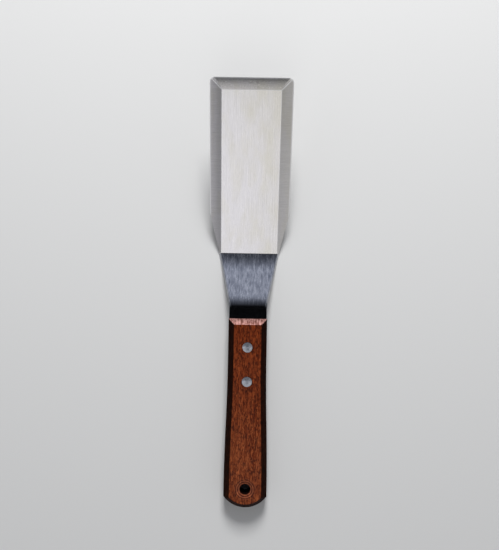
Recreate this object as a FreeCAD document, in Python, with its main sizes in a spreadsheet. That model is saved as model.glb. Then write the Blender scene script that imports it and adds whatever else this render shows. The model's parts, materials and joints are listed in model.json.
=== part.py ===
import FreeCAD, Part
import math
import os
import Sketcher

# Grill spatula (griddle turner), millimetres. It lies as it would on a table: the crease behind the blade and
# the rear end of the handle touch z = 0 and the front edge of the blade is raised.
# +Y points along the tool towards the blade's front edge, +X across it and +Z up.

SIZES = {
    # steel: one sheet, cut to outline, bent at the heel and at the crest
    "sheet_thick": 2.0,
    "blade_width": 67.0,
    "blade_length": 148.5,
    "shoulder_reach": 36.0,
    "heel_width": 50.9,
    "tang_width": 31.8,
    "taper_reach": 35.6,
    "corner_radius": 4.4,
    "neck_blend": 3.0,
    # ground bevels on three sides of the upper face
    "flat_width": 48.0,
    "edge_thick": 0.45,
    "front_edge_thick": 0.8,
    "bevel_stop": 0.6,
    "hollow_radius": 110.0,
    "crown_radius": 80.0,
    # bends: turning angle in degrees, and radius on the bend's inner side (of the crease: its underside)
    "crease_turn": 23.0,
    "crease_radius": 3.5,
    "heel_turn": 17.8,
    "heel_radius": 43.0,
    "crest_turn": 20.4,
    "crest_radius": 24.0,
    "crease_to_heel": 8.1,
    "heel_to_crest": 35.71,
    "bare_tang": 14.0,
    "tang_in_wood": 66.0,
    "eased_edge": 0.3,
    # how the tool lies: angle of the blade above the surface, degrees
    "blade_tilt": 21.9,
    # wooden handle
    "handle_length": 160.0,
    "handle_thick": 16.5,
    "front_width": 32.4,
    "rear_width": 36.6,
    "waist_width": 34.2,
    "straight_grip": 30.0,
    "waist_reach": 85.0,
    "end_radius": 22.5,
    "side_chamfer": 4.8,
    "front_chamfer": 4.5,
    "rear_chamfer": 3.8,
    # hanging hole
    "hang_reach": 143.4,
    "hang_hole": 8.5,
    "dish_width": 15.0,
    "dish_depth": 0.8,
    # compression rivets
    "first_rivet": 23.6,
    "second_rivet": 52.5,
    "head_width": 8.5,
    "head_thick": 1.8,
    "head_crown": 0.2,
    "tube_width": 4.8,
    "stud_width": 3.2,
}

ORIGIN = (-1, 1)
X_AXIS = -1
Y_AXIS = -2
START, END, CENTRE = 1, 2, 3
FAR = 300.0
CLEAR = 5.0


class Size:
    """A length that remembers the spreadsheet expression it comes from."""

    def __init__(self, value, text):
        self.value = value
        self.text = text

    def joined(self, other, sign, value):
        return Size(value, "(%s %s %s)" % (self.text, sign, as_size(other).text))

    def __add__(self, other):
        return self.joined(other, "+", self.value + as_size(other).value)

    def __sub__(self, other):
        return self.joined(other, "-", self.value - as_size(other).value)

    def __mul__(self, other):
        return self.joined(other, "*", self.value * as_size(other).value)

    def __truediv__(self, other):
        return self.joined(other, "/", self.value / as_size(other).value)

    def __neg__(self):
        return Size(-self.value, "(0 - %s)" % self.text)

    def root(self):
        return Size(math.sqrt(self.value), "sqrt(%s)" % self.text)


def as_size(number):
    return number if isinstance(number, Size) else Size(float(number), repr(float(number)))


def size(name):
    return Size(SIZES[name], "Sizes." + name)


def vector(x, y, z=0.0):
    return FreeCAD.Vector(x, y, z)


def make_sheet(doc):
    sheet = doc.addObject("Spreadsheet::Sheet", "Sizes")
    for row, (name, value) in enumerate(SIZES.items(), start=1):
        sheet.set("A%d" % row, name)
        sheet.set("B%d" % row, str(value))
        sheet.setAlias("B%d" % row, name)
    doc.recompute()


# ---------------------------------------------------------------- sketches and features

def make_body(doc, name):
    body = doc.addObject("PartDesign::Body", name)
    body.Label = name
    return body


def make_sketch(body, name, plane, offset=None):
    """An empty sketch on one of the body's own origin planes, optionally moved off it."""
    sketch = body.newObject("Sketcher::SketchObject", name)
    support = [feature for feature in body.Origin.OriginFeatures if feature.Role == plane][0]
    sketch.AttachmentSupport = [(support, "")]
    sketch.MapMode = "FlatFace"
    if offset is not None:
        sketch.AttachmentOffset = offset
    return sketch


def bind(sketch, constraint, length):
    """Add a dimension and drive it from the spreadsheet."""
    index = sketch.addConstraint(constraint)
    sketch.setExpression("Constraints[%d]" % index, length.text)


def pin_coordinate(sketch, kind, other_axis, geometry, point, length):
    if abs(length.value) < 1e-9:
        sketch.addConstraint(Sketcher.Constraint("PointOnObject", geometry, point, other_axis))
    elif length.value > 0:
        bind(sketch, Sketcher.Constraint(kind, *ORIGIN, geometry, point, length.value), length)
    else:
        bind(sketch, Sketcher.Constraint(kind, geometry, point, *ORIGIN, -length.value), -length)


def pin(sketch, geometry, point, x, y):
    """Fix a point of the sketch at (x, y) measured from its origin."""
    pin_coordinate(sketch, "DistanceX", Y_AXIS, geometry, point, as_size(x))
    pin_coordinate(sketch, "DistanceY", X_AXIS, geometry, point, as_size(y))


def add_line(sketch, start, end):
    return sketch.addGeometry(Part.LineSegment(vector(*start), vector(*end)), False)


def add_arc(sketch, start, middle, end):
    """An arc through three points, stored counter-clockwise whichever way round they are given."""
    turn = ((middle[0] - start[0]) * (end[1] - middle[1])
            - (middle[1] - start[1]) * (end[0] - middle[0]))
    first, last = (start, end) if turn > 0 else (end, start)
    return sketch.addGeometry(Part.Arc(vector(*first), vector(*middle), vector(*last)), False)


def arc_ends(sketch, arc, start):
    """An arc is stored counter-clockwise: its point numbers, first at start and then at the other end."""
    first = sketch.Geometry[arc].StartPoint
    swapped = math.hypot(first.x - start[0], first.y - start[1]) > 1e-6
    return (END, START) if swapped else (START, END)


def close_loop(sketch, pieces):
    """Join (geometry, first point, last point) pieces end to end into one closed loop."""
    for piece, following in zip(pieces, pieces[1:] + pieces[:1]):
        ends = (piece[0], piece[2], following[0], following[1])
        sketch.addConstraint(Sketcher.Constraint("Coincident", *ends))


def add_polygon(sketch, corners):
    """A closed polygon with every corner pinned."""
    points = [(as_size(x).value, as_size(y).value) for x, y in corners]
    lines = [add_line(sketch, start, end) for start, end in zip(points, points[1:] + points[:1])]
    close_loop(sketch, [(line, START, END) for line in lines])
    for line, (x, y) in zip(lines, corners):
        pin(sketch, line, START, x, y)


def add_circle(sketch, x, y, width):
    """A pinned circle of the given diameter."""
    centre = vector(as_size(x).value, as_size(y).value)
    circle = sketch.addGeometry(Part.Circle(centre, vector(0, 0, 1), width.value / 2), False)
    bind(sketch, Sketcher.Constraint("Diameter", circle, width.value), width)
    pin(sketch, circle, CENTRE, x, y)


def add_pad(body, name, sketch, length):
    """A pad of the given total length, half on each side of its sketch."""
    pad = body.newObject("PartDesign::Pad", name)
    pad.Profile = sketch
    pad.SideType = "Symmetric"
    pad.setExpression("Length", length.text)
    body.Document.recompute()
    return pad


def add_pocket(body, name, sketch, length, both_ways, reverse=False):
    """A pocket that is checked to have removed material."""
    before = body.Tip.Shape.Volume
    pocket = body.newObject("PartDesign::Pocket", name)
    pocket.Profile = sketch
    pocket.SideType = "Symmetric" if both_ways else "One side"
    pocket.Reversed = reverse
    pocket.setExpression("Length", as_size(length).text)
    body.Document.recompute()
    if not pocket.Shape.Volume < before - 1e-3:
        raise RuntimeError("%s removed nothing" % name)
    return pocket


def edges_where(shape, test):
    return ["Edge%d" % number for number, edge in enumerate(shape.Edges, start=1) if test(edge)]


def dress_edges(body, kind, name, test, amount):
    """A fillet or chamfer on every edge that passes the test."""
    tip = body.Tip
    names = edges_where(tip.Shape, test)
    if not names:
        raise RuntimeError("%s found no edges" % name)
    feature = body.newObject("PartDesign::" + kind, name)
    feature.Base = (tip, names)
    feature.setExpression("Radius" if kind == "Fillet" else "Size", amount.text)
    body.Document.recompute()
    if feature.Shape.isNull() or not feature.Shape.isValid():
        raise RuntimeError("%s made no valid shape" % name)
    return feature


# ---------------------------------------------------------------- steel blade, neck and tang

def turns():
    """Angle of each straight run of the strip above the blade's plane, in degrees, from blade to tang."""
    crease = SIZES["crease_turn"]
    neck = crease + SIZES["heel_turn"]
    return [0.0, crease, neck, neck - SIZES["crest_turn"]]


def strip_corners():
    """Underside of the strip before its bends are rounded: (along, up) from the front edge to the tang's end."""
    tang = SIZES["bare_tang"] + SIZES["tang_in_wood"]
    runs = [SIZES["crease_to_heel"], SIZES["heel_to_crest"], tang]
    corners = [(SIZES["blade_length"], 0.0), (0.0, 0.0)]
    for run, angle in zip(runs, turns()[1:]):
        along, up = corners[-1]
        lean = math.radians(angle)
        corners.append((along - run * math.cos(lean), up + run * math.sin(lean)))
    return corners


def top_corners():
    """Upper side of the strip: the underside moved out by the sheet's thickness, mitred at the bends."""
    thick = SIZES["sheet_thick"]
    angles = turns()
    before = angles[:1] + angles
    after = angles + angles[-1:]
    corners = []
    for (along, up), first, second in zip(strip_corners(), before, after):
        bisector = math.radians((first + second) / 2)
        reach = thick / math.cos(math.radians((second - first) / 2))
        corners.append((along + reach * math.sin(bisector), up + reach * math.cos(bisector)))
    return corners


def draw_strip(sketch):
    """Side view of the bent strip: two parallel chains of four lines and the two square ends."""
    under = strip_corners()
    upper = top_corners()
    lower_lines = [add_line(sketch, start, end) for start, end in zip(under, under[1:])]
    rear = add_line(sketch, under[-1], upper[-1])
    back = upper[::-1]
    upper_lines = [add_line(sketch, start, end) for start, end in zip(back, back[1:])]
    front = add_line(sketch, upper[0], under[0])
    order = lower_lines + [rear] + upper_lines + [front]
    close_loop(sketch, [(line, START, END) for line in order])

    pin(sketch, lower_lines[0], START, size("blade_length"), 0)
    pin(sketch, lower_lines[0], END, 0, 0)
    runs = [size("crease_to_heel"), size("heel_to_crest"), size("bare_tang") + size("tang_in_wood")]
    neck = size("crease_turn") + size("heel_turn")
    leans = [size("crease_turn"), neck, neck - size("crest_turn")]
    for line, run, lean in zip(lower_lines[1:], runs, leans):
        bind(sketch, Sketcher.Constraint("Distance", line, run.value), run)
        direction = as_size(180) - lean
        radians = math.radians(direction.value)
        bind(sketch, Sketcher.Constraint("Angle", line, radians), direction * Size(1.0, "1 deg"))
    thick = size("sheet_thick")
    for low, high in zip(lower_lines, upper_lines[::-1]):
        sketch.addConstraint(Sketcher.Constraint("Parallel", low, high))
        bind(sketch, Sketcher.Constraint("Distance", high, START, low, thick.value), thick)
    sketch.addConstraint(Sketcher.Constraint("Perpendicular", front, lower_lines[0]))
    sketch.addConstraint(Sketcher.Constraint("Perpendicular", rear, lower_lines[-1]))


def runs_across(edge, along, up):
    """True for a straight edge parallel to X that passes through (along, up)."""
    box = edge.BoundBox
    return (box.YLength < 1e-4 and box.ZLength < 1e-4
            and abs(box.YMin - along) < 1e-3 and abs(box.ZMin - up) < 1e-3)


def round_bends(body):
    """Bend radii: the sheet keeps its thickness, so the outer radius is the inner one plus the sheet.

    The crease is a sharp line above and only rounded below.
    """
    thick = size("sheet_thick")
    along, up = strip_corners()[1]
    radius = size("crease_radius")
    dress_edges(body, "Fillet", "CreaseUnder", lambda edge: runs_across(edge, along, up), radius)
    bends = [("Heel", "heel_radius", True), ("Crest", "crest_radius", False)]
    under = strip_corners()[2:4]
    upper = top_corners()[2:4]
    for (name, radius, inner_on_top), low, high in zip(bends, under, upper):
        inner = size(radius)
        outer = inner + thick
        for side, corner in (("Top", high), ("Under", low)):
            amount = inner if (side == "Top") == inner_on_top else outer
            along, up = corner
            dress_edges(body, "Fillet", name + side, lambda edge: runs_across(edge, along, up), amount)


def draw_trim(sketch, side):
    """What is cut away beside the neck: shoulder line, taper, an arc into the parallel tang, outside."""
    half = size("blade_width") / 2
    heel = size("heel_width") / 2
    tang = size("tang_width") / 2
    taper = size("taper_reach")
    blend = size("neck_blend")
    step = heel - tang
    slant = (step * step + taper * taper).root()
    radius = blend * step / (slant - taper)
    half_lean = math.atan2(step.value, taper.value) / 2
    first = (tang + blend * step / slant, blend * taper / slant - taper)
    last = (tang, -(taper + blend))
    middle = (tang.value + radius.value * (1 - math.cos(half_lean)),
              last[1].value + radius.value * math.sin(half_lean))
    outside = half + CLEAR
    after = [(tang, -as_size(FAR)), (outside, -as_size(FAR)), (outside, size("shoulder_reach"))]
    before = [(half, size("shoulder_reach")), (heel, as_size(0)), first]

    def point(corner):
        return (side * corner[0].value, corner[1].value)

    arc = add_arc(sketch, point(first), (side * middle[0], middle[1]), point(last))
    loop = [last] + after + before
    lines = [add_line(sketch, point(a), point(b)) for a, b in zip(loop, loop[1:])]
    ends = arc_ends(sketch, arc, point(first))
    close_loop(sketch, [(arc,) + ends] + [(line, START, END) for line in lines])
    for line, (x, y) in zip(lines, loop[1:]):
        pin(sketch, line, END, x * side, y)
    pin(sketch, arc, ends[1], tang * side, last[1])
    bind(sketch, Sketcher.Constraint("Radius", arc, radius.value), radius)


def cut_outline(body):
    """Shoulders, tapered neck and parallel tang, cut through the sheet on both sides."""
    sketch = make_sketch(body, "OutlineSketch", "XY_Plane")
    for side in (1, -1):
        draw_trim(sketch, side)
    add_pocket(body, "Outline", sketch, FAR, both_ways=True)


def ease_sides(body):
    """Small rounding along both sides of the shoulders, neck and tang, above and below."""
    shoulder = SIZES["shoulder_reach"]
    thick = SIZES["sheet_thick"]

    def is_long_side(edge):
        box = edge.BoundBox
        is_rear_corner = abs(edge.Length - thick) < 1e-3
        runs_back = box.YLength > 1e-2 and box.YMax < shoulder + 1e-3
        return runs_back and box.XMin * box.XMax > 0 and not is_rear_corner

    dress_edges(body, "Fillet", "EasedSides", is_long_side, size("eased_edge"))


def stands_at(edge, x, y):
    """True for an edge along Z that stands at (+x or -x, y)."""
    box = edge.BoundBox
    return (box.XLength < 1e-4 and box.YLength < 1e-4
            and abs(abs(box.XMin) - x) < 1e-3 and abs(box.YMin - y) < 1e-3)


def round_corners(body):
    half = SIZES["blade_width"] / 2
    front = SIZES["blade_length"]
    radius = size("corner_radius")
    dress_edges(body, "Fillet", "FrontCorners", lambda edge: stands_at(edge, half, front), radius)


def draw_bevel(sketch, inner, outer, thin, side, radius, bulge):
    """Section of the steel ground away above an arc from the flat's border down to the thin edge.

    The arc bows up out of the steel where bulge is 1 and is hollow where it is -1.
    """
    top = size("sheet_thick")
    start = (inner.value, top.value)
    end = (outer.value, thin.value)
    half_chord = math.hypot(end[0] - start[0], end[1] - start[1]) / 2
    sag = radius.value - math.sqrt(radius.value ** 2 - half_chord ** 2)
    lean = math.atan2(start[1] - end[1], abs(end[0] - start[0]))
    middle = ((start[0] + end[0]) / 2 + bulge * side * sag * math.sin(lean),
              (start[1] + end[1]) / 2 + bulge * sag * math.cos(lean))
    arc = add_arc(sketch, start, middle, end)
    first, last = arc_ends(sketch, arc, start)
    far = outer + CLEAR * side
    rest = [(far, thin), (far, top + CLEAR), (inner, top + CLEAR)]
    points = [end] + [(x.value, y.value) for x, y in rest] + [start]
    lines = [add_line(sketch, a, b) for a, b in zip(points, points[1:])]
    close_loop(sketch, [(arc, first, last)] + [(line, START, END) for line in lines])
    pin(sketch, arc, first, inner, top)
    pin(sketch, arc, last, outer, thin)
    for line, (x, y) in zip(lines, rest):
        pin(sketch, line, END, x, y)
    bind(sketch, Sketcher.Constraint("Radius", arc, radius.value), radius)


def grind_bevels(body):
    """Hollow bevels left and right, stopped at the crease where the blade turns up, one crowned in front."""
    half = size("blade_width") / 2
    border = size("flat_width") / 2
    edge = size("edge_thick")
    length = size("blade_length")
    started = FreeCAD.Placement(vector(0, 0, -SIZES["bevel_stop"]), FreeCAD.Rotation())
    sides = make_sketch(body, "SideBevelSketch", "XZ_Plane", started)
    for side in (1, -1):
        draw_bevel(sides, border * side, half * side, edge, side, size("hollow_radius"), -1)
    add_pocket(body, "SideBevels", sides, length + CLEAR, both_ways=False)
    front = make_sketch(body, "FrontBevelSketch", "YZ_Plane")
    inner = length - (half - border)
    draw_bevel(front, inner, length, size("front_edge_thick"), 1, size("crown_radius"), 1)
    add_pocket(body, "FrontBevel", front, size("blade_width") + CLEAR * 2, both_ways=True)


def tang_frame():
    """The handle's own axes in the blade's axes: origin on the tang's middle, at the wood's front."""
    along, up = strip_corners()[3]
    lean = math.radians(turns()[3])
    run = SIZES["bare_tang"]
    half = SIZES["sheet_thick"] / 2
    y = along - run * math.cos(lean) + half * math.sin(lean)
    z = up + run * math.sin(lean) + half * math.cos(lean)
    return FreeCAD.Placement(vector(0, y, z), FreeCAD.Rotation(vector(1, 0, 0), -turns()[3]))


def drill_tang(body):
    sketch = make_sketch(body, "TangHoleSketch", "XY_Plane", tang_frame())
    for reach in ("first_rivet", "second_rivet"):
        add_circle(sketch, 0, -size(reach), size("tube_width"))
    add_pocket(body, "TangHoles", sketch, size("sheet_thick") + CLEAR, both_ways=True)


def make_blade(doc):
    body = make_body(doc, "turner_blade")
    sketch = make_sketch(body, "StripSketch", "YZ_Plane")
    draw_strip(sketch)
    add_pad(body, "Strip", sketch, size("blade_width"))
    round_bends(body)
    cut_outline(body)
    ease_sides(body)
    round_corners(body)
    grind_bevels(body)
    drill_tang(body)
    return body


# ---------------------------------------------------------------- wooden handle

def draw_handle(sketch, side_inset, front_inset, rear_inset):
    """Plan of the handle, moved in from its outline by the given amounts. The front is at y = 0."""
    side = as_size(side_inset)
    front = -as_size(front_inset)
    narrow = size("front_width") / 2 - side
    waist = size("waist_width") / 2 - side
    wide = size("rear_width") / 2 - side
    radius = size("end_radius") - rear_inset
    centre = size("handle_length") - size("end_radius")
    corner = -(centre + (radius * radius - wide * wide).root())
    tip = -(centre + radius)
    straight = -size("straight_grip")
    bend = -size("waist_reach")

    def at(sign, x, y):
        return (sign * x.value, y.value)

    def side_arc(sign, start, start_y, end, end_y, tangent_at_start):
        """Arc between two points of the side that is parallel to the axis at one of them."""
        rise = end.value - start.value
        run = start_y.value - end_y.value
        radius_value = (run ** 2 + rise ** 2) / (2 * rise)
        half_run = run / 2
        drop = radius_value - math.sqrt(radius_value ** 2 - half_run ** 2)
        if tangent_at_start:
            middle = (start.value + drop, start_y.value - half_run)
        else:
            middle = (end.value - drop, end_y.value + half_run)
        middle = (sign * middle[0], middle[1])
        return add_arc(sketch, at(sign, start, start_y), middle, at(sign, end, end_y))

    front_line = add_line(sketch, at(-1, narrow, front), at(1, narrow, front))
    grip, flare, swell = {}, {}, {}
    for sign in (1, -1):
        grip[sign] = add_line(sketch, at(sign, narrow, front), at(sign, narrow, straight))
        flare[sign] = side_arc(sign, narrow, straight, waist, bend, True)
        swell[sign] = side_arc(sign, waist, bend, wide, corner, False)
    end_arc = add_arc(sketch, at(1, wide, corner), (0.0, tip.value), at(-1, wide, corner))

    right_flare = arc_ends(sketch, flare[1], at(1, narrow, straight))
    right_swell = arc_ends(sketch, swell[1], at(1, waist, bend))
    left_flare = arc_ends(sketch, flare[-1], at(-1, narrow, straight))
    left_swell = arc_ends(sketch, swell[-1], at(-1, waist, bend))
    end_first, end_last = arc_ends(sketch, end_arc, at(1, wide, corner))
    pieces = [
        (front_line, START, END),
        (grip[1], START, END),
        (flare[1],) + right_flare,
        (swell[1],) + right_swell,
        (end_arc, end_first, end_last),
        (swell[-1],) + left_swell[::-1],
        (flare[-1],) + left_flare[::-1],
        (grip[-1], END, START),
    ]
    close_loop(sketch, pieces)
    for sign, flare_ends, swell_ends in ((1, right_flare, right_swell), (-1, left_flare, left_swell)):
        pin(sketch, grip[sign], START, narrow * sign, front)
        pin(sketch, grip[sign], END, narrow * sign, straight)
        pin(sketch, flare[sign], flare_ends[1], waist * sign, bend)
        pin(sketch, swell[sign], swell_ends[1], wide * sign, corner)
    bind(sketch, Sketcher.Constraint("Radius", end_arc, radius.value), radius)


def make_handle(doc):
    body = make_body(doc, "wood_handle")
    thick = size("handle_thick")
    chamfer = size("side_chamfer")
    wall_half = thick / 2 - chamfer

    plan = make_sketch(body, "PlanSketch", "XY_Plane")
    draw_handle(plan, 0, 0, 0)
    add_pad(body, "Wall", plan, wall_half * 2)

    for name, sign in (("Upper", 1), ("Lower", -1)):
        lifted = FreeCAD.Placement(vector(0, 0, sign * wall_half.value), FreeCAD.Rotation())
        outer = make_sketch(body, name + "OuterSketch", "XY_Plane", lifted)
        draw_handle(outer, 0, 0, 0)
        outer.setExpression("AttachmentOffset.Base.z", (wall_half * sign).text)
        faced = FreeCAD.Placement(vector(0, 0, sign * thick.value / 2), FreeCAD.Rotation())
        inner = make_sketch(body, name + "FaceSketch", "XY_Plane", faced)
        draw_handle(inner, chamfer, size("front_chamfer"), size("rear_chamfer"))
        inner.setExpression("AttachmentOffset.Base.z", (thick / 2 * sign).text)
        loft = body.newObject("PartDesign::AdditiveLoft", name + "Chamfer")
        loft.Profile = outer
        loft.Sections = [inner]
        loft.Ruled = True
        doc.recompute()

    slot = make_sketch(body, "SlotSketch", "XY_Plane")
    reach = size("tang_in_wood")
    far = size("rear_width")
    add_polygon(slot, [(far, CLEAR), (-far, CLEAR), (-far, -reach), (far, -reach)])
    add_pocket(body, "TangSlot", slot, size("sheet_thick"), both_ways=True)

    bores = make_sketch(body, "ShankBoreSketch", "XY_Plane")
    for rivet in ("first_rivet", "second_rivet"):
        add_circle(bores, 0, -size(rivet), size("tube_width"))
    add_pocket(body, "ShankBores", bores, FAR, both_ways=True)

    for name, sign in (("Upper", 1), ("Lower", -1)):
        seat = thick / 2 * sign
        raised = FreeCAD.Placement(vector(0, 0, seat.value), FreeCAD.Rotation())
        sinks = make_sketch(body, name + "HeadSketch", "XY_Plane", raised)
        sinks.setExpression("AttachmentOffset.Base.z", seat.text)
        for rivet in ("first_rivet", "second_rivet"):
            add_circle(sinks, 0, -size(rivet), size("head_width"))
        add_pocket(body, name + "HeadSeats", sinks, size("head_thick"), both_ways=False, reverse=sign < 0)

    hang = make_sketch(body, "HangSketch", "XY_Plane")
    add_circle(hang, 0, -size("hang_reach"), size("hang_hole"))
    add_pocket(body, "HangingHole", hang, FAR, both_ways=True)

    moved = FreeCAD.Placement(vector(-SIZES["hang_reach"], 0, 0), FreeCAD.Rotation())
    dishes = make_sketch(body, "DishSketch", "YZ_Plane", moved)
    dishes.setExpression("AttachmentOffset.Base.x", (-size("hang_reach")).text)
    rim = size("dish_width") / 2
    wall = size("hang_hole") / 2
    for sign in (1, -1):
        face = thick / 2 * sign
        floor = face - size("dish_depth") * sign
        above = face + CLEAR * sign
        add_polygon(dishes, [(0, floor), (wall, floor), (rim, face), (rim, above), (0, above)])
    groove = body.newObject("PartDesign::Groove", "Dishes")
    groove.Profile = dishes
    groove.ReferenceAxis = (dishes, ["V_Axis"])
    groove.Angle = 360.0
    doc.recompute()
    return body


# ---------------------------------------------------------------- rivets

def draw_half_section(sketch, corners, crown_from, crown_to):
    """Half section of a turned piece: straight lines, with one crowned arc across the head."""
    lines = []
    for start, end in zip(corners, corners[1:] + corners[:1]):
        first = (as_size(start[0]).value, as_size(start[1]).value)
        last = (as_size(end[0]).value, as_size(end[1]).value)
        if start is corners[crown_from] and end is corners[crown_to]:
            rise = last[1] - first[1]
            run = last[0] - first[0]
            radius = (run ** 2 + rise ** 2) / (2 * abs(rise))
            middle_x = (first[0] + last[0]) / 2
            drop = radius - math.sqrt(radius ** 2 - middle_x ** 2)
            crown_y = first[1] if first[0] < last[0] else last[1]
            middle = (middle_x, crown_y - math.copysign(drop, crown_y))
            arc = add_arc(sketch, first, middle, last)
            bind(sketch, Sketcher.Constraint("Radius", arc, radius), crown_radius())
            ends = arc_ends(sketch, arc, first)
            lines.append((arc,) + ends)
        else:
            lines.append((add_line(sketch, first, last), START, END))
    close_loop(sketch, lines)
    for piece, (x, y) in zip(lines, corners):
        pin(sketch, piece[0], piece[1], x, y)


def crown_radius():
    """Radius of the crowned face that rises head_crown over half the head's width."""
    run = size("head_width") / 2
    rise = size("head_crown")
    return (run * run + rise * rise) / (rise * 2)


def make_turned(doc, name, corners, crown_from, crown_to):
    body = make_body(doc, name)
    sketch = make_sketch(body, name + "_section", "XZ_Plane")
    draw_half_section(sketch, corners, crown_from, crown_to)
    turned = body.newObject("PartDesign::Revolution", name + "_turned")
    turned.Profile = sketch
    turned.ReferenceAxis = (sketch, ["V_Axis"])
    turned.Angle = 360.0
    doc.recompute()
    return body


def make_rivet(doc, place):
    """A compression rivet: a solid half with its head on top and a tube half with its head below."""
    face = size("handle_thick") / 2
    seat = face - size("head_thick")
    head = size("head_width") / 2
    stud = size("stud_width") / 2
    tube = size("tube_width") / 2
    crown = face + size("head_crown")
    male = [(as_size(0), -seat), (stud, -seat), (stud, seat),
            (head, seat), (head, face), (as_size(0), crown)]
    female = [(as_size(0), -crown), (head, -face), (head, -seat), (tube, -seat),
              (tube, seat), (stud, seat), (stud, -seat), (as_size(0), -seat)]
    return [make_turned(doc, place + "_rivet_male", male, 4, 5),
            make_turned(doc, place + "_rivet_female", female, 0, 1)]


# ---------------------------------------------------------------- placing, checking and writing

def place_on_surface(doc, blade, handle, rivets):
    """Tilt the tool as it lies and put the middle of its box, at its lowest point, at the origin."""
    tilted = FreeCAD.Placement(vector(0, 0, 0), FreeCAD.Rotation(vector(1, 0, 0), SIZES["blade_tilt"]))
    local = [(blade, FreeCAD.Placement()), (handle, tang_frame())]
    for reach, pair in rivets:
        spot = FreeCAD.Placement(vector(0, -SIZES[reach], 0), FreeCAD.Rotation())
        local += [(body, tang_frame().multiply(spot)) for body in pair]
    for body, own in local:
        body.Placement = tilted.multiply(own)
    doc.recompute()
    box = FreeCAD.BoundBox()
    for body, own in local:
        box.add(body.Shape.optimalBoundingBox(False))
    shift = FreeCAD.Placement(vector(-box.Center.x, -box.Center.y, -box.ZMin), FreeCAD.Rotation())
    for body, own in local:
        body.Placement = shift.multiply(body.Placement)
    doc.recompute()
    return [body for body, own in local]


def check(doc, bodies):
    """Stop if any feature failed or any sub-part is not one valid solid."""
    for item in doc.Objects:
        if "Invalid" in item.State or "Error" in item.State:
            raise RuntimeError("%s failed: %s" % (item.Label, item.State))
    for body in bodies:
        shape = body.Shape
        if shape.isNull() or not shape.isValid() or len(shape.Solids) != 1:
            raise RuntimeError("%s is not one valid solid" % body.Label)


def main():
    doc = FreeCAD.newDocument("GrillSpatula")
    make_sheet(doc)
    blade = make_blade(doc)
    handle = make_handle(doc)
    rivets = [("first_rivet", make_rivet(doc, "front")), ("second_rivet", make_rivet(doc, "rear"))]
    bodies = place_on_surface(doc, blade, handle, rivets)
    check(doc, bodies)
    os.makedirs("parts", exist_ok=True)
    for body in bodies:
        body.Shape.exportStep("parts/%s.step" % body.Label)
        box = body.Shape.optimalBoundingBox(False)
        print("%-20s %9.1f mm3  y %.1f to %.1f  z %.2f to %.2f"
              % (body.Label, body.Shape.Volume, box.YMin, box.YMax, box.ZMin, box.ZMax))


main()
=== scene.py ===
"""Grill spatula on a pale floor: finishes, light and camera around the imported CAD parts.

Lengths are metres in the row frame, or millimetres where a finish says so.
"""
import json
import math

import bpy
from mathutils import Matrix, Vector


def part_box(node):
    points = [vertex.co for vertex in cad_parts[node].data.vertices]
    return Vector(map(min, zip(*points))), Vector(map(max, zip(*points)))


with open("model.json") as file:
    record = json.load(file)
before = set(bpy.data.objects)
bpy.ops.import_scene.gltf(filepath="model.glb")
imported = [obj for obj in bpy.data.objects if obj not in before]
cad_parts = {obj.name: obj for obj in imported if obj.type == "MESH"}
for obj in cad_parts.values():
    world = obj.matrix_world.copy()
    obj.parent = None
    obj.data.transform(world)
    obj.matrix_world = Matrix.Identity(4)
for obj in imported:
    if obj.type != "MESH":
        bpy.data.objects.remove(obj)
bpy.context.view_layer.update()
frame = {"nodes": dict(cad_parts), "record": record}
nodes = frame["nodes"]

# ---------------------------------------------------------------- where things are
BLADE_TILT = math.radians(21.9)
HANDLE_TILT = math.radians(1.5)
BLADE_LENGTH = 0.1485
FRONT_EDGE_THICK = 0.0008
HOLE_REACH = 0.1434
MM = 1000.0

blade_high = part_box("turner_blade")[1]
crease = Vector((
    0.0,
    blade_high.y - BLADE_LENGTH * math.cos(BLADE_TILT),
    blade_high.z - BLADE_LENGTH * math.sin(BLADE_TILT) - FRONT_EDGE_THICK * math.cos(BLADE_TILT),
))
mounts = {mount["name"]: mount for mount in frame["record"]["mounts"]}
hole = Vector(mounts["hanging_hole"]["pos_m"])
handle_front = hole + HOLE_REACH * Vector((0.0, math.cos(HANDLE_TILT), math.sin(HANDLE_TILT)))


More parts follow.
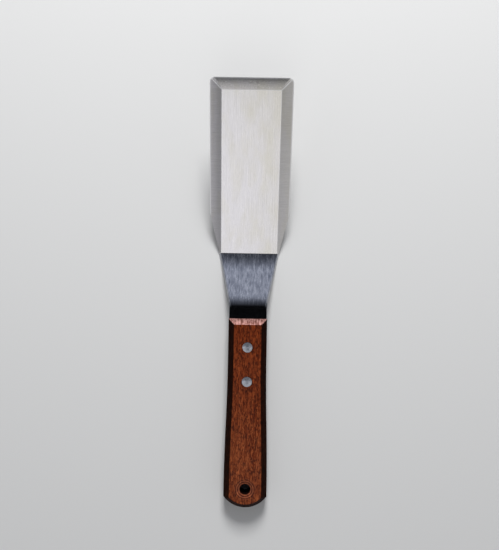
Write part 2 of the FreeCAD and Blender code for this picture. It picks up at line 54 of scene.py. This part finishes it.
# ---------------------------------------------------------------- materials
class Nodes:
    """Short ways to add nodes to a tree. Inputs are sockets, numbers or tuples."""

    def __init__(self, tree):
        self.tree = tree

    def add(self, kind, **settings):
        node = self.tree.nodes.new(kind)
        for key, value in settings.items():
            setattr(node, key, value)
        return node

    def join(self, source, target):
        self.tree.links.new(source, target)

    def feed(self, target, value):
        if isinstance(value, bpy.types.NodeSocket):
            self.join(value, target)
        else:
            target.default_value = value

    def math(self, operation, first, second=0.0, clamp=False):
        node = self.add("ShaderNodeMath", operation=operation, use_clamp=clamp)
        for socket, value in zip(node.inputs, (first, second)):
            self.feed(socket, value)
        return node.outputs[0]

    def axes(self, vector):
        node = self.add("ShaderNodeSeparateXYZ")
        self.join(vector, node.inputs[0])
        return node.outputs

    def vector(self, x, y, z):
        node = self.add("ShaderNodeCombineXYZ")
        for socket, value in zip(node.inputs, (x, y, z)):
            self.feed(socket, value)
        return node.outputs[0]

    def scaled(self, vector, scale):
        node = self.add("ShaderNodeVectorMath", operation="MULTIPLY")
        self.join(vector, node.inputs[0])
        node.inputs[1].default_value = scale
        return node.outputs[0]

    def noise(self, vector, scale, detail, roughness):
        node = self.add("ShaderNodeTexNoise")
        self.join(vector, node.inputs["Vector"])
        node.inputs["Scale"].default_value = scale
        node.inputs["Detail"].default_value = detail
        node.inputs["Roughness"].default_value = roughness
        return node.outputs["Fac"]

    def span(self, value, low, high, to_low=0.0, to_high=1.0, smooth=False):
        """Value taken from low..high to to_low..to_high, and held at both ends."""
        node = self.add("ShaderNodeMapRange", interpolation_type="SMOOTHSTEP" if smooth else "LINEAR")
        for socket, item in zip(node.inputs, (value, low, high, to_low, to_high)):
            self.feed(socket, item)
        return node.outputs[0]

    def mix(self, factor, first, second, blend="MIX"):
        node = self.add("ShaderNodeMix", data_type="RGBA", blend_type=blend)
        self.feed(node.inputs[0], factor)
        for socket, value in ((node.inputs[6], first), (node.inputs[7], second)):
            self.feed(socket, value if isinstance(value, bpy.types.NodeSocket) else tuple(value) + (1.0,))
        return node.outputs[2]

    def blend(self, factor, first, second):
        node = self.add("ShaderNodeMix", data_type="FLOAT")
        for socket, value in zip((node.inputs[0], node.inputs[2], node.inputs[3]), (factor, first, second)):
            self.feed(socket, value)
        return node.outputs[0]

    def bump(self, height, distance, strength, onto=None):
        node = self.add("ShaderNodeBump")
        node.inputs["Strength"].default_value = strength
        node.inputs["Distance"].default_value = distance
        self.join(height, node.inputs["Height"])
        if onto is not None:
            self.join(onto, node.inputs["Normal"])
        return node.outputs[0]

    def length(self, vector):
        node = self.add("ShaderNodeVectorMath", operation="LENGTH")
        self.join(vector, node.inputs[0])
        return node.outputs["Value"]

    def ramp(self, value, stops):
        """A colour that follows value from -1 to 1 through the given (value, colour) stops."""
        node = self.add("ShaderNodeValToRGB")
        self.join(self.span(value, -1.0, 1.0), node.inputs["Fac"])
        elements = node.color_ramp.elements
        while len(elements) < len(stops):
            elements.new(0.5)
        for element, (where, colour) in zip(elements, stops):
            element.position = (where + 1.0) / 2.0
            element.color = colour + (1.0,)
        return node.outputs["Color"]


class Finish(Nodes):
    """A material with coordinates in millimetres, and directions, along the piece's own axes."""

    def __init__(self, name, origin, tilt):
        self.material = bpy.data.materials.new(name)
        self.material.use_nodes = True
        super().__init__(self.material.node_tree)
        self.shader = self.tree.nodes["Principled BSDF"]
        place = self.add("ShaderNodeTexCoord")
        local = self.add("ShaderNodeMapping", vector_type="TEXTURE")
        self.join(place.outputs["Object"], local.inputs["Vector"])
        local.inputs["Location"].default_value = origin
        local.inputs["Rotation"].default_value = (tilt, 0.0, 0.0)
        local.inputs["Scale"].default_value = (0.001, 0.001, 0.001)
        self.place = local.outputs["Vector"]
        turned = self.add("ShaderNodeMapping", vector_type="NORMAL")
        self.join(place.outputs["Normal"], turned.inputs["Vector"])
        turned.inputs["Rotation"].default_value = (-tilt, 0.0, 0.0)
        self.facing = turned.outputs["Vector"]

    def set(self, **inputs):
        for name, value in inputs.items():
            self.feed(self.shader.inputs[name.replace("_", " ")], value)


# Millimetres, for the finishes
FLAT_HALF = 24.0
FRONT_BEVEL = 9.5
BLADE_HALF = 33.5
CORNER = 4.4
HEEL_HALF = 25.45
TANG_HALF = 15.9
TAPER = 35.6
CREST = -34.5
HOLE_RADIUS = 4.25
HEAD_RADIUS = 4.25
RIVETS = {"front": 23.6, "rear": 52.5}


def steel_finish():
    """Blade and neck. Local millimetres: y runs from the crease forward, z up from the underside."""
    f = Finish("blade_steel", crease, BLADE_TILT)
    x, y, _ = f.axes(f.place)
    normal = f.axes(f.facing)
    off_axis = f.math("ABSOLUTE", x)

    # Where on the steel: side bevel, neck, tang, and the edge lines that get a painted highlight
    past_side = f.math("SUBTRACT", off_axis, FLAT_HALF)
    past_front = f.math("SUBTRACT", y, BLADE_LENGTH * MM - FRONT_BEVEL)
    side_lead = f.math("SUBTRACT", past_side, past_front)
    topside = f.math("MULTIPLY", f.span(normal[2], 0.3, 0.5), f.span(y, 0.3, 0.5))
    side = f.math("MULTIPLY", f.span(side_lead, -0.12, 0.12), f.span(past_side, -0.1, 0.1))
    side = f.math("MULTIPLY", side, topside)
    neck = f.span(y, 0.4, -0.2)
    tang = f.span(y, CREST + 4.0, CREST - 5.0, smooth=True)
    beyond = f.math("MAXIMUM", past_side, past_front)
    corner_x = f.math("SUBTRACT", off_axis, BLADE_HALF - CORNER)
    corner_y = f.math("SUBTRACT", y, BLADE_LENGTH * MM - CORNER)
    corner = f.vector(f.math("MAXIMUM", corner_x, 0.0), f.math("MAXIMUM", corner_y, 0.0), 0.0)
    rim = f.span(f.length(corner), CORNER - 1.0, CORNER - 0.6)
    neck_half = f.span(y, -TAPER, 0.0, TANG_HALF, HEEL_HALF)
    inset = f.math("SUBTRACT", neck_half, off_axis)
    neck_rim = f.span(inset, 1.5, 0.3, 0.0, 0.5)
    neck_rim = f.math("MULTIPLY", neck_rim, f.math("SUBTRACT", neck, tang))
    mitre = f.span(f.math("ABSOLUTE", side_lead), 0.75, 0.35)
    mitre = f.math("MULTIPLY", mitre, f.span(beyond, 0.2, 0.6))
    ridge = f.span(f.math("ABSOLUTE", beyond), 0.45, 0.2, 0.0, 0.5)
    # Painted highlight mask: rim, mitre and edge ridge on the top side, the neck's edges, and walls facing
    # sideways
    bright = f.math("MULTIPLY", f.math("MAXIMUM", f.math("MAXIMUM", rim, mitre), ridge), topside)
    bright = f.math("MAXIMUM", bright, neck_rim)
    sideways = f.span(f.math("ABSOLUTE", normal[0]), 0.3, 0.6, 0.0, 0.6)
    bright = f.math("MAXIMUM", bright, f.math("MULTIPLY", sideways, f.math("SUBTRACT", 1.0, tang)))

    # Grinding marks, a warmer, slightly darker tone in clouds and towards the right side and front edge,
    # mottled patches on the neck, and colour
    long_lines = f.noise(f.scaled(f.place, (4.0, 0.035, 4.0)), 1.0, 5.0, 0.75)
    fine_lines = f.noise(f.scaled(f.place, (22.0, 0.2, 22.0)), 1.0, 2.0, 0.6)
    cross_lines = f.noise(f.scaled(f.place, (0.05, 4.0, 0.05)), 1.0, 5.0, 0.75)
    cross_fine = f.noise(f.scaled(f.place, (0.25, 22.0, 0.25)), 1.0, 2.0, 0.6)
    lines = f.blend(side, long_lines, cross_lines)
    fine = f.blend(side, fine_lines, cross_fine)
    marks = f.math("ADD", f.math("MULTIPLY", lines, 0.55), f.math("MULTIPLY", fine, 0.45))
    clouds = f.noise(f.scaled(f.place, (0.10, 0.04, 0.1)), 1.0, 3.0, 0.5)
    mottle = f.noise(f.scaled(f.place, (0.40, 0.11, 0.2)), 1.0, 3.0, 0.6)
    streaks = f.noise(f.scaled(f.place, (2.2, 0.13, 0.2)), 1.0, 4.0, 0.65)

    colour = f.mix(f.span(marks, 0.32, 0.68), (0.465, 0.455, 0.48), (0.845, 0.83, 0.855))
    warmth = f.math("ADD", f.span(x, -24.0, 24.0, 0.0, 0.65), f.span(y, 60.0, 140.0, 0.0, 0.35))
    warmth = f.math("ADD", warmth, f.span(clouds, 0.42, 0.66, -0.3, 0.4), clamp=True)
    warm_colour = f.mix(f.span(marks, 0.32, 0.68), (0.47, 0.455, 0.425), (0.77, 0.75, 0.715))
    colour = f.mix(warmth, colour, warm_colour)
    patches = f.math("ADD", f.math("MULTIPLY", mottle, 0.4), f.math("MULTIPLY", streaks, 0.6))
    neck_colour = f.mix(f.span(patches, 0.38, 0.62), (0.22, 0.24, 0.29), (0.84, 0.86, 0.92))
    colour = f.mix(neck, colour, neck_colour)
    # Painted shade and dark reflection: the tang near the wood is coloured almost black
    colour = f.mix(f.math("MULTIPLY", tang, 0.85), colour, (0.10, 0.105, 0.12))

    # Gloss, its direction and the relief
    rough = f.blend(side, 0.26, 0.30)
    rough = f.blend(neck, rough, f.span(patches, 0.3, 0.7, 0.20, 0.30))
    rough = f.blend(tang, rough, 0.13)
    rough = f.math("ADD", rough, f.span(marks, 0.2, 0.8, -0.05, 0.05))
    # Painted highlight: these lines are coloured near white
    colour = f.mix(f.math("MULTIPLY", bright, 0.85), colour, (0.96, 0.96, 0.97))
    rough = f.blend(bright, rough, 0.42)
    f.set(Base_Color=colour, Metallic=1.0, Roughness=rough, Anisotropic=0.5)
    forward = (0.0, math.cos(BLADE_TILT), math.sin(BLADE_TILT))
    f.join(f.mix(side, (1.0, 0.0, 0.0), forward), f.shader.inputs["Tangent"])
    elsewhere = f.math("MAXIMUM", f.math("SUBTRACT", 1.0, neck), tang)
    eased = f.math("MAXIMUM", f.span(inset, 0.0, 1.3), elsewhere)
    f.set(Normal=f.bump(marks, 0.00002, 0.6, onto=f.bump(eased, 0.0004, 1.0)))
    return f.material


def wood_finish():
    """Handle. Local millimetres: y runs from the front end forward, z up from the handle's middle."""
    f = Finish("handle_wood", handle_front, HANDLE_TILT)
    x, y, _ = f.axes(f.place)
    normal = f.axes(f.facing)
    steep = f.math("ABSOLUTE", normal[2])

    # Grain along the handle
    waver = f.noise(f.scaled(f.place, (0.05, 0.02, 0.05)), 1.0, 2.0, 0.5)
    swayed = f.add("ShaderNodeVectorMath", operation="ADD")
    f.join(f.place, swayed.inputs[0])
    f.join(f.vector(f.span(waver, 0.3, 0.7, -1.6, 1.6), 0.0, 0.0), swayed.inputs[1])
    grain = swayed.outputs[0]
    bands = f.noise(f.scaled(grain, (0.30, 0.010, 0.30)), 1.0, 4.0, 0.6)
    streaks = f.noise(f.scaled(grain, (1.7, 0.045, 1.7)), 1.0, 4.0, 0.65)
    pores = f.noise(f.scaled(grain, (2.6, 0.17, 2.6)), 1.0, 3.0, 0.6)
    pore = f.span(pores, 0.53, 0.66)
    flecks = f.noise(f.scaled(grain, (0.9, 0.22, 0.9)), 1.0, 4.0, 0.7)
    knots = f.noise(f.scaled(grain, (0.8, 0.36, 0.8)), 1.0, 3.0, 0.6)
    tone = f.math("ADD", f.math("MULTIPLY", bands, 0.5), f.math("MULTIPLY", streaks, 0.5))
    colour = f.mix(f.span(tone, 0.38, 0.62), (0.095, 0.015, 0.0045), (0.22, 0.052, 0.018))
    colour = f.mix(f.span(flecks, 0.45, 0.63, 0.0, 0.8), colour, (0.36, 0.095, 0.028))
    colour = f.mix(f.span(knots, 0.50, 0.62, 0.0, 0.75), colour, (0.034, 0.009, 0.006))
    colour = f.mix(f.math("MULTIPLY", pore, 0.8), colour, (0.020, 0.010, 0.009))

    # End grain on the front end, its colour lightened by a painted sheen, and a little of it on the rear
    # end
    end_grain = f.math("MULTIPLY", f.span(normal[1], 0.3, 0.55), f.span(y, -8.0, -7.0))
    ends = f.noise(f.scaled(f.place, (0.8, 0.2, 0.2)), 1.0, 5.0, 0.75)
    # End-grain colour whose light end holds a painted sheen
    grain_and_sheen = f.mix(f.span(ends, 0.40, 0.58), (0.20, 0.07, 0.046), (0.84, 0.45, 0.37))
    rear_cut = f.math("MULTIPLY", f.span(normal[1], -0.25, -0.5, 0.0, 0.3), f.span(y, -150.0, -152.0))
    colour = f.mix(f.math("MAXIMUM", end_grain, rear_cut), colour, grain_and_sheen)

    # Turned rings in the dish, and painted shade in the bore of the hanging hole
    away = f.length(f.vector(x, f.math("ADD", y, HOLE_REACH * MM), 0.0))
    radius = f.math("ADD", away, f.span(waver, 0.3, 0.7, -0.3, 0.3))
    turned = f.math("SINE", f.math("MULTIPLY", radius, 3.3))
    turned = f.math("MULTIPLY", turned, f.span(radius, 9.4, 7.8))
    colour = f.mix(f.span(turned, 0.0, 0.8, 0.0, 0.7), colour, (0.030, 0.010, 0.007))
    colour = f.mix(f.span(turned, 0.0, -0.8, 0.0, 0.25), colour, (0.40, 0.15, 0.08))
    # Painted shade: the bore's wall is coloured almost black
    colour = f.mix(f.span(away, HOLE_RADIUS + 0.1, HOLE_RADIUS), colour, (0.02, 0.008, 0.006))

    # Painted shade: chamfers and walls darker, the handle darker towards its front, and the front end grain
    # darker at its front edge than at its rear border; the handle is also redder towards its front
    # Painted shade on faces that do not lie flat
    lying = f.span(steep, 0.80, 0.95)
    upright = f.span(steep, 0.45, 0.20, 0.08, 0.38)
    dim = f.math("MAXIMUM", f.blend(lying, upright, 1.0), end_grain)
    # Painted shade along the handle and across the front end grain
    lit = f.blend(end_grain, f.span(y, 0.0, -140.0, 0.62, 0.98), f.span(y, -1.0, -4.2, 0.42, 0.78))
    shade = f.math("MULTIPLY", dim, lit)
    green = f.blend(end_grain, f.span(y, 0.0, -120.0, 0.76, 1.03), 1.0)
    blue = f.blend(end_grain, f.span(y, 0.0, -120.0, 0.66, 1.18), 1.08)
    shade_and_tint = f.vector(shade, f.math("MULTIPLY", shade, green), f.math("MULTIPLY", shade, blue))
    colour = f.mix(1.0, colour, shade_and_tint, "MULTIPLY")

    height = f.math("SUBTRACT", f.math("MULTIPLY", streaks, 0.5), pore)
    height = f.math("SUBTRACT", height, f.math("MULTIPLY", turned, 0.6))
    f.set(Base_Color=colour, Roughness=f.blend(pore, 0.5, 0.75), Normal=f.bump(height, 0.00012, 0.8))
    f.shader.inputs["Specular IOR Level"].default_value = 0.03
    return f.material


def rivet_finish(name, reach):
    """A turned head: fine rings about its middle, which lies reach millimetres behind the wood's front."""
    f = Finish(name, handle_front, HANDLE_TILT)
    x, y, _ = f.axes(f.place)
    across = f.vector(x, f.math("ADD", y, reach), 0.0)
    radius = f.length(across)
    rings = f.noise(f.vector(radius, 0.0, 0.0), 7.0, 3.0, 0.7)
    scuffs = f.noise(f.place, 0.9, 4.0, 0.7)
    tone = f.math("ADD", f.math("MULTIPLY", rings, 0.5), f.math("MULTIPLY", scuffs, 0.5))
    tone = f.math("ADD", tone, f.span(radius, 0.8, 2.6, 0.03, 0.05))
    colour = f.mix(f.span(tone, 0.38, 0.62), (0.27, 0.29, 0.36), (0.88, 0.91, 0.98))
    rim = f.span(radius, HEAD_RADIUS - 0.25, HEAD_RADIUS - 0.05)
    colour = f.mix(rim, colour, (0.34, 0.33, 0.34))
    rough = f.span(tone, 0.3, 0.7, 0.44, 0.36)
    f.set(Base_Color=colour, Metallic=1.0, Roughness=rough, Anisotropic=0.95)
    spin = f.add("ShaderNodeVectorMath", operation="CROSS_PRODUCT")
    f.join(across, spin.inputs[0])
    spin.inputs[1].default_value = (0.0, 0.0, 1.0)
    f.join(spin.outputs[0], f.shader.inputs["Tangent"])
    f.set(Normal=f.bump(rings, 0.00003, 0.7))
    return f.material


def soften(node, width):
    """Round the sharp edges of a piece by a small width."""
    weld = node.modifiers.new("weld", "WELD")
    weld.merge_threshold = 0.000001
    bevel = node.modifiers.new("soft edges", "BEVEL")
    bevel.width = width
    bevel.segments = 2
    bevel.limit_method = "ANGLE"
    bevel.angle_limit = math.radians(28.0)
    bevel.use_clamp_overlap = False


def wear(node, material):
    node.data.materials.clear()
    node.data.materials.append(material)


wear(nodes["turner_blade"], steel_finish())
wear(nodes["wood_handle"], wood_finish())
soften(nodes["wood_handle"], 0.0004)
for place, reach in RIVETS.items():
    material = rivet_finish(place + "_rivet_steel", reach)
    for half in ("male", "female"):
        wear(nodes["%s_rivet_%s" % (place, half)], material)


# ---------------------------------------------------------------- floor, light, camera
# Brightness of the studio by direction: -1 looks behind the handle, 1 past the blade's front edge
WORLD_ALONG = [
    (-1.0, (0.60, 0.60, 0.60)), (-0.82, (1.25, 1.25, 1.25)), (-0.66, (1.42, 1.42, 1.43)),
    (-0.50, (1.48, 1.48, 1.475)), (-0.42, (0.88, 0.87, 0.86)), (-0.29, (0.76, 0.76, 0.76)),
    (-0.22, (0.33, 0.34, 0.36)), (-0.16, (0.05, 0.055, 0.07)),
    (-0.12, (0.003, 0.003, 0.003)), (0.0, (0.003, 0.003, 0.003)),
    (0.09, (0.08, 0.085, 0.10)), (0.25, (0.14, 0.15, 0.18)), (0.41, (0.28, 0.295, 0.35)),
    (0.60, (0.58, 0.61, 0.71)), (1.0, (0.58, 0.60, 0.68)),
]
# The same from left to right, which multiplies it
WORLD_ACROSS = [
    (-1.0, (0.40, 0.40, 0.40)), (-0.42, (0.13, 0.13, 0.13)), (-0.27, (0.33, 0.33, 0.335)),
    (-0.16, (1.11, 1.11, 1.115)), (0.16, (0.62, 0.615, 0.60)), (0.27, (0.43, 0.43, 0.43)),
    (0.42, (0.42, 0.42, 0.42)), (1.0, (0.40, 0.40, 0.40)),
]
WORLD_SIDES = (0.42, 0.43, 0.45)
FLOOR_HALF = 3.0
KEY_PLACE = (0.05, 1.35, 0.98)
KEY_SIDE = 0.5
KEY_WATTS = 34.0
CAMERA_PLACE = (0.0007, 0.0201, 0.6895)
CAMERA_ROLL = math.radians(0.996)
CAMERA_LENS = 52.36


def make_floor():
    mesh = bpy.data.meshes.new("floor")
    corners = [(FLOOR_HALF * x, FLOOR_HALF * y, 0.0) for x, y in ((-1, -1), (1, -1), (1, 1), (-1, 1))]
    mesh.from_pydata(corners, [], [(0, 1, 2, 3)])
    floor = bpy.data.objects.new("floor", mesh)
    bpy.context.scene.collection.objects.link(floor)
    material = bpy.data.materials.new("floor")
    material.use_nodes = True
    shader = material.node_tree.nodes["Principled BSDF"]
    shader.inputs["Base Color"].default_value = (0.60, 0.60, 0.595, 1.0)
    shader.inputs["Roughness"].default_value = 0.85
    shader.inputs["Specular IOR Level"].default_value = 0.2
    mesh.materials.append(material)


def make_key():
    """A soft square light beyond the blade's front edge, aimed at the origin and not seen in the steel."""
    data = bpy.data.lights.new("key", "AREA")
    data.shape = "SQUARE"
    data.size = KEY_SIDE
    data.energy = KEY_WATTS
    key = bpy.data.objects.new("key", data)
    bpy.context.scene.collection.objects.link(key)
    key.location = KEY_PLACE
    key.rotation_euler = (-Vector(KEY_PLACE)).to_track_quat("-Z", "Y").to_euler()
    key.visible_glossy = False


def make_world():
    """Studio seen in the steel: bright behind the handle, dark overhead, dim and bluish in front."""
    world = bpy.data.worlds.new("studio")
    bpy.context.scene.world = world
    world.use_nodes = True
    nodes = Nodes(world.node_tree)
    place = nodes.add("ShaderNodeTexCoord")
    x, y, _ = nodes.axes(place.outputs["Generated"])
    overhead = nodes.mix(1.0, nodes.ramp(y, WORLD_ALONG), nodes.ramp(x, WORLD_ACROSS), "MULTIPLY")
    aside = nodes.span(nodes.math("ABSOLUTE", x), 0.42, 0.62)
    both = nodes.mix(aside, overhead, WORLD_SIDES)
    nodes.join(both, world.node_tree.nodes["Background"].inputs["Color"])


def make_camera():
    data = bpy.data.cameras.new("camera")
    data.lens = CAMERA_LENS
    data.sensor_width = 36.0
    data.clip_start = 0.01
    camera = bpy.data.objects.new("camera", data)
    bpy.context.scene.collection.objects.link(camera)
    camera.location = CAMERA_PLACE
    camera.rotation_euler = (0.0, 0.0, CAMERA_ROLL)
    bpy.context.scene.camera = camera


make_floor()
make_world()
make_key()
make_camera()
bpy.context.scene.view_settings.view_transform = "Standard"
bpy.context.scene.view_settings.look = "None"
